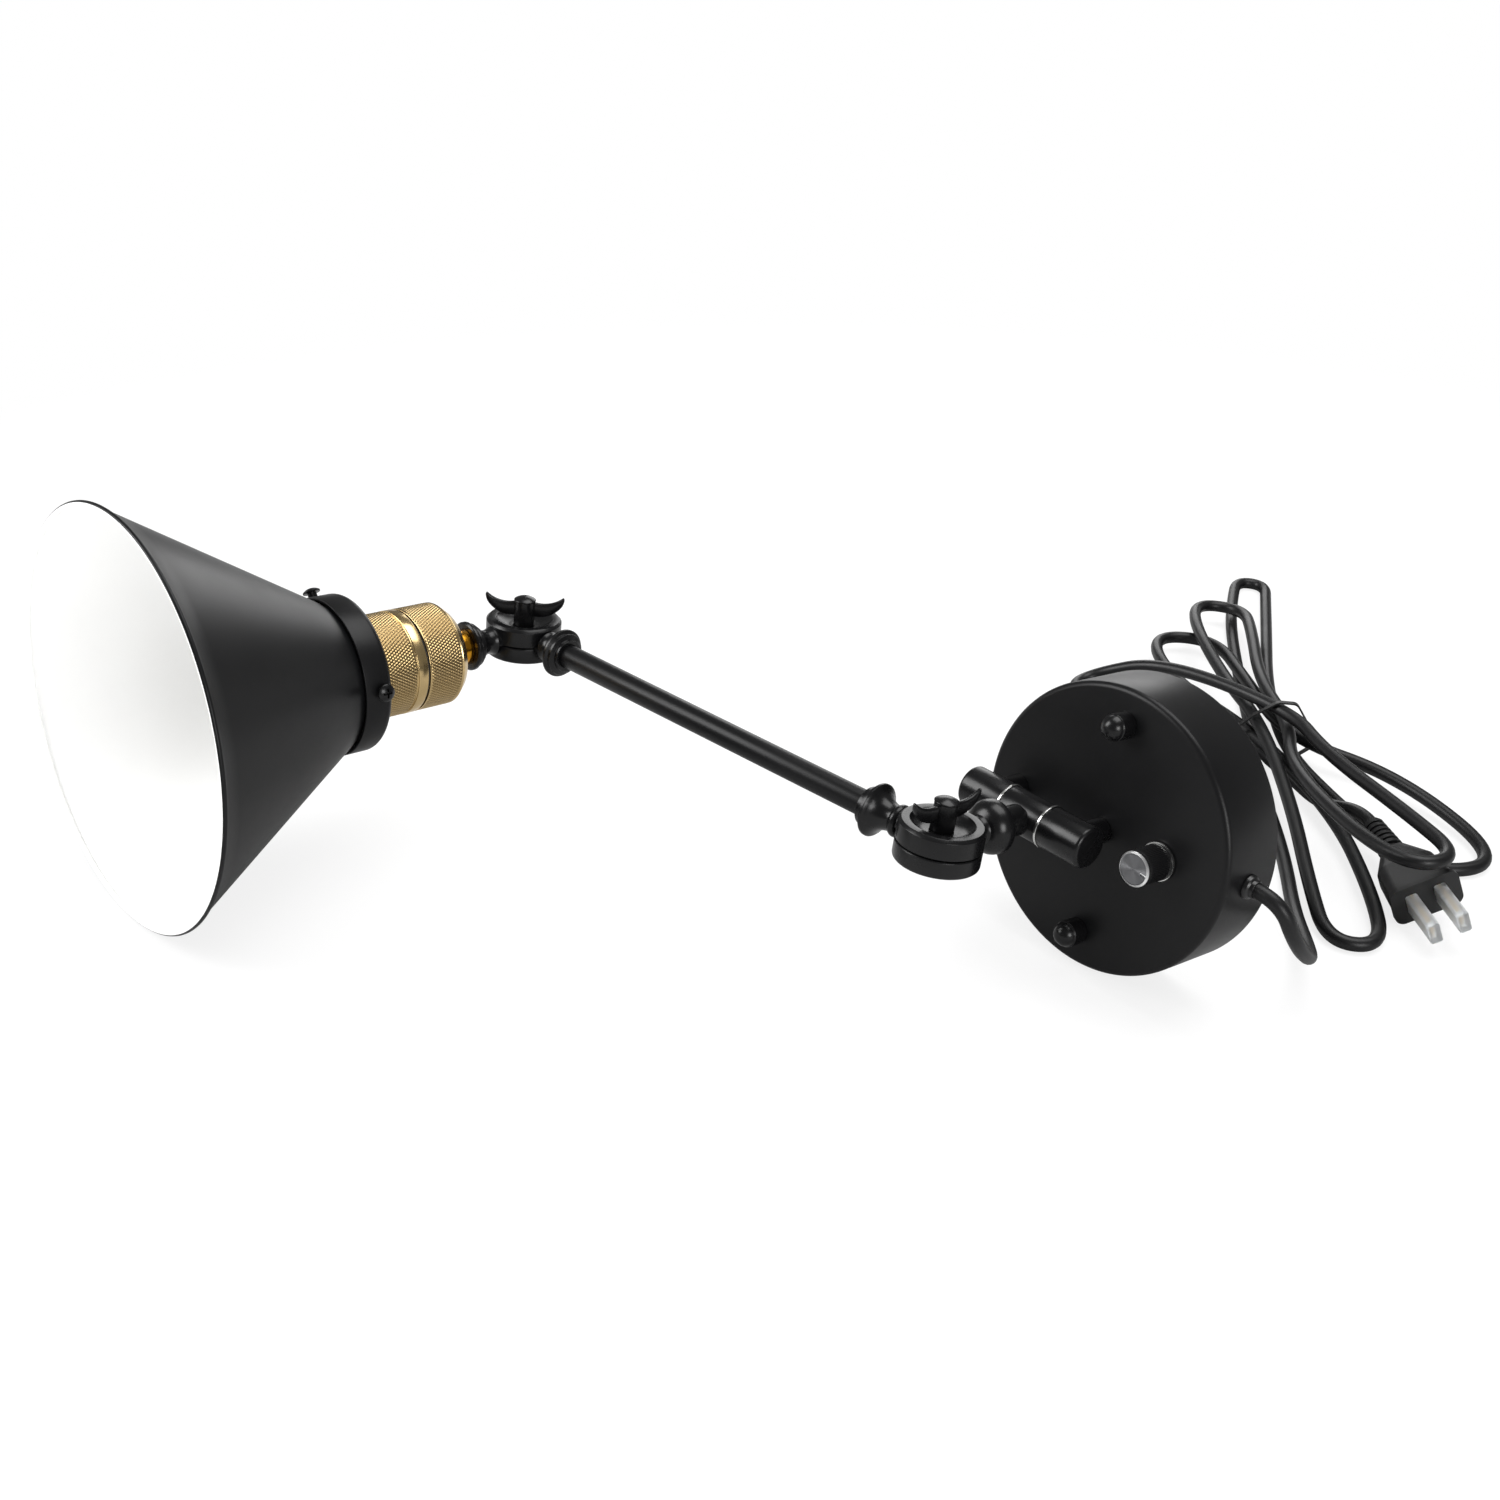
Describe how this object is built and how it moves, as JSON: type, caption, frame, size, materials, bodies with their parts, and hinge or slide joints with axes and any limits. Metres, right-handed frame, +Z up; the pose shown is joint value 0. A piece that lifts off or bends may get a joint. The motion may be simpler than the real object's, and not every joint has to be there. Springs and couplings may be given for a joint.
{
  "type": "articulating wall lamp",
  "caption": "Plug-in wall lamp: round wall canopy with a dimmer, a swivel fork, two wing-screw knuckles, a tube arm, a keyless socket and a conical shade, with its cord tied in a hank.",
  "frame": {"origin": "centre of the canopy's open back, on the plane of its edge that goes against the wall", "axes": "+X along the swivel barrel to the cord's exit; +Z up from the table the lamp lies on; +Y towards the wall side. The canopy's back is tipped 8 degrees about X, as it lies in the picture. On a wall the lamp is turned so that the cord's exit points down."},
  "size_m": [0.4412, 0.6819, 0.1744],
  "materials": {
    "black_enamel": "satin powder coat",
    "black_cast": "satin paint over cast metal",
    "zinc_plate": "zinc plated",
    "satin_steel": "turned, satin",
    "gold_brass": "turned, lacquered",
    "porcelain": "glazed",
    "shell_brass": "rolled sheet",
    "spun_aluminium": "spun face",
    "knob_base": "bright ring",
    "black_plastic": "moulded",
    "cord_jacket": "satin vinyl",
    "clear_cap": "translucent, moulded",
    "tie_film": "paper and film over wire",
    "gasket_fibre": "pressed fibre"
  },
  "bodies": {
    "base": {"canopy_pan": "black_enamel", "mounting_bracket": "zinc_plate", "bracket_studs": "zinc_plate", "stud_lock_nuts": "zinc_plate", "cap_nuts": "black_enamel", "fork_post_left": "black_cast", "fork_post_right": "black_cast", "post_screw_left": "black_enamel", "post_screw_right": "black_enamel", "barrel_end_left": "black_cast", "barrel_end_right": "black_cast", "swivel_pin": "satin_steel", "ring_washers": "satin_steel", "dimmer_body": "black_plastic", "dimmer_nut": "zinc_plate", "cord_grommet": "black_plastic", "cord_exit_run": "cord_jacket", "cord_hank": "cord_jacket", "cord_plug_run": "cord_jacket", "cord_tie": "tie_film", "plug_body": "cord_jacket", "plug_blades": "shell_brass", "blade_covers": "clear_cap"},
    "swivel": {"swivel_centre": "black_cast", "knuckle_1_lower": "black_cast", "knuckle_1_friction_washer": "gasket_fibre", "knuckle_1_nut": "zinc_plate"},
    "arm": {"knuckle_1_upper": "black_cast", "arm_tube": "black_enamel", "knuckle_2_lower": "black_cast", "knuckle_2_friction_washer": "gasket_fibre", "knuckle_2_nut": "zinc_plate"},
    "head": {"knuckle_2_upper": "black_cast", "brass_nipple": "gold_brass", "socket_cap": "gold_brass", "socket_gasket": "gasket_fibre", "socket_shell": "gold_brass", "socket_insulator": "porcelain", "screw_shell": "shell_brass", "centre_contact": "shell_brass", "shade_collar": "black_enamel", "collar_screws": "black_enamel", "shade_ring": "porcelain", "lamp_shade": "black_enamel"},
    "knob": {"dimmer_shaft": "black_plastic", "dimmer_knob": "satin_steel", "knob_cap": "spun_aluminium", "knob_ring": "knob_base"},
    "wing_1": {"wing_screw_1": "black_cast"},
    "wing_2": {"wing_screw_2": "black_cast"}
  },
  "joints": [
    {"name": "barrel_swivel", "type": "hinge", "parent": "base", "child": "swivel", "pos_m": [-0.02199, -0.05009, 0.00646], "axis": [0.9997, 0.0036, 0.0258], "range_deg": [-75, 75]},
    {"name": "knuckle_1", "type": "hinge", "parent": "swivel", "child": "arm", "pos_m": [-0.02199, -0.10188, 0.01374], "axis": [-0.026, 0.1391, 0.9899], "range_deg": [-20, 170]},
    {"name": "knuckle_2", "type": "hinge", "parent": "arm", "child": "head", "pos_m": [-0.26523, -0.12936, 0.01121], "axis": [-0.02, 0.0857, 0.9961], "range_deg": [-170, 20]},
    {"name": "dimmer_turn", "type": "hinge", "parent": "base", "child": "knob", "pos_m": [0.02939, -0.03158, 0.00521], "axis": [0, 0.9903, -0.1392], "range_deg": [0, 270]},
    {"name": "wing_screw_1_turn", "type": "hinge", "parent": "arm", "child": "wing_1", "pos_m": [-0.02199, -0.10188, 0.01374], "axis": [-0.026, 0.1391, 0.9899], "range_deg": [0, 180]},
    {"name": "wing_screw_2_turn", "type": "hinge", "parent": "head", "child": "wing_2", "pos_m": [-0.26523, -0.12936, 0.01121], "axis": [-0.02, 0.0857, 0.9961], "range_deg": [0, 180]}
  ]
}
